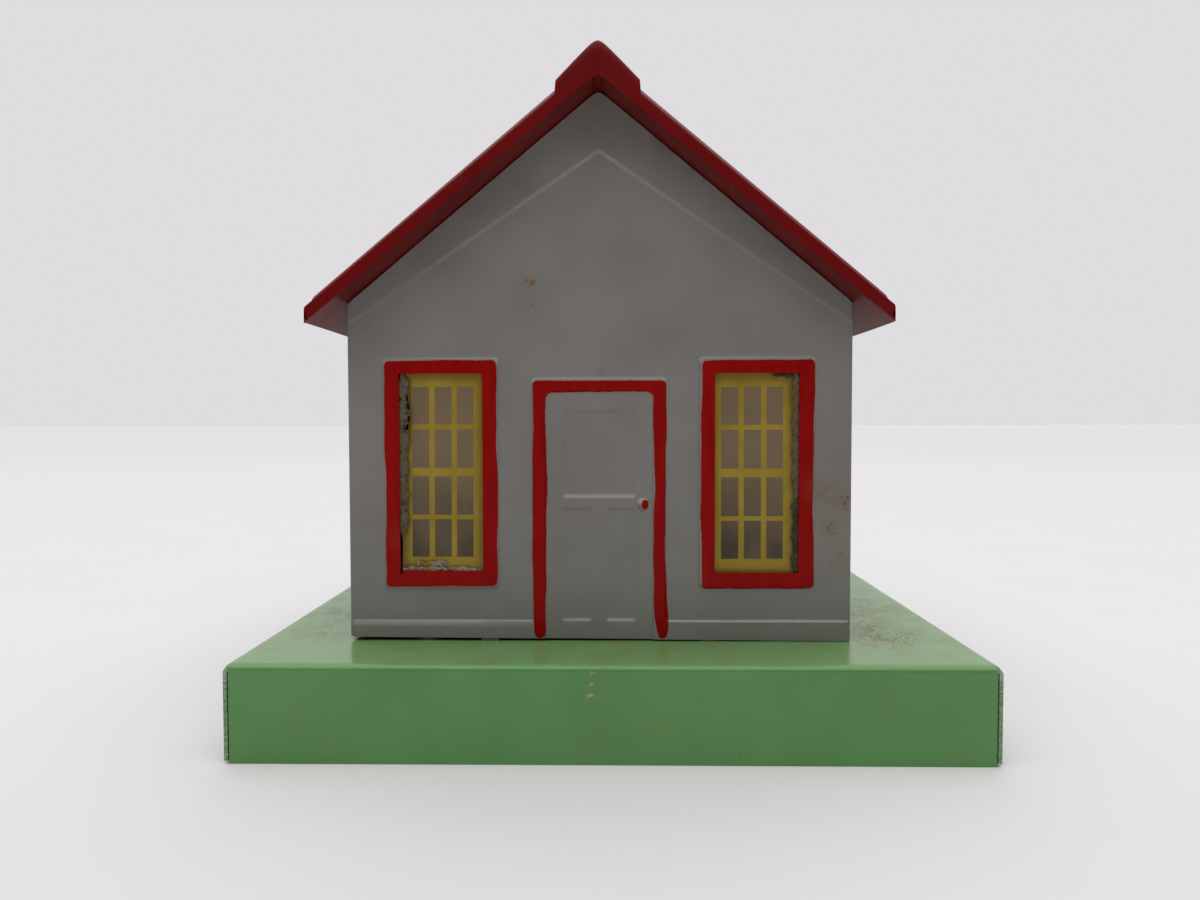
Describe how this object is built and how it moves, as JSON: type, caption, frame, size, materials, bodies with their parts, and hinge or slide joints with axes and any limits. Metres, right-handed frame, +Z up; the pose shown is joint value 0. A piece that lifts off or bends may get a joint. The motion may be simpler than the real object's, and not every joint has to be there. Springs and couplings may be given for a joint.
{
  "type": "money box",
  "caption": "Tin money box shaped as a small gabled house on a stepped base, with a ridge coin slot and a locked trap door underneath.",
  "frame": {"origin": "middle of the base's footprint, on the surface it stands on", "axes": "+Z up, front wall with the door towards -Y, +X to the right when looking at the door"},
  "size_m": [0.2032, 0.2032, 0.1928],
  "materials": {
    "base_green": "glossy green enamel, scuffed and dusty",
    "wall_grey": "satin grey enamel with small rust spots, red hand-painted trim",
    "roof_red": "glossy dark red enamel",
    "window_film": "translucent film with printed yellow sash bars",
    "bright_steel": "plain steel",
    "lock_brass": "plain brass"
  },
  "bodies": {
    "house": {"base_pan": "base_green", "front_wall": "wall_grey", "rear_wall": "wall_grey", "left_wall": "wall_grey", "right_wall": "wall_grey", "roof_skin": "roof_red", "roof_liner": "roof_red", "hinge_pin": "bright_steel", "film_front_a": "window_film", "film_front_b": "window_film", "film_rear_a": "window_film", "film_rear_b": "window_film", "film_left_a": "window_film", "film_left_b": "window_film", "film_right_a": "window_film", "film_right_b": "window_film"},
    "trap": {"trap_door": "base_green", "lock_housing": "bright_steel", "lock_nut": "bright_steel"},
    "lock": {"lock_plug": "lock_brass", "lock_cam": "bright_steel", "cam_screw": "bright_steel"}
  },
  "joints": [
    {"name": "trap_hinge", "type": "hinge", "parent": "house", "child": "trap", "pos_m": [-0.00325, 0.023, 0.0212], "axis": [1, 0, 0], "range_deg": [0, 120]},
    {"name": "lock_turn", "type": "hinge", "parent": "trap", "child": "lock", "pos_m": [-0.00325, -0.01196, 0.024], "axis": [0, 0, -1], "range_deg": [0, 90]}
  ]
}
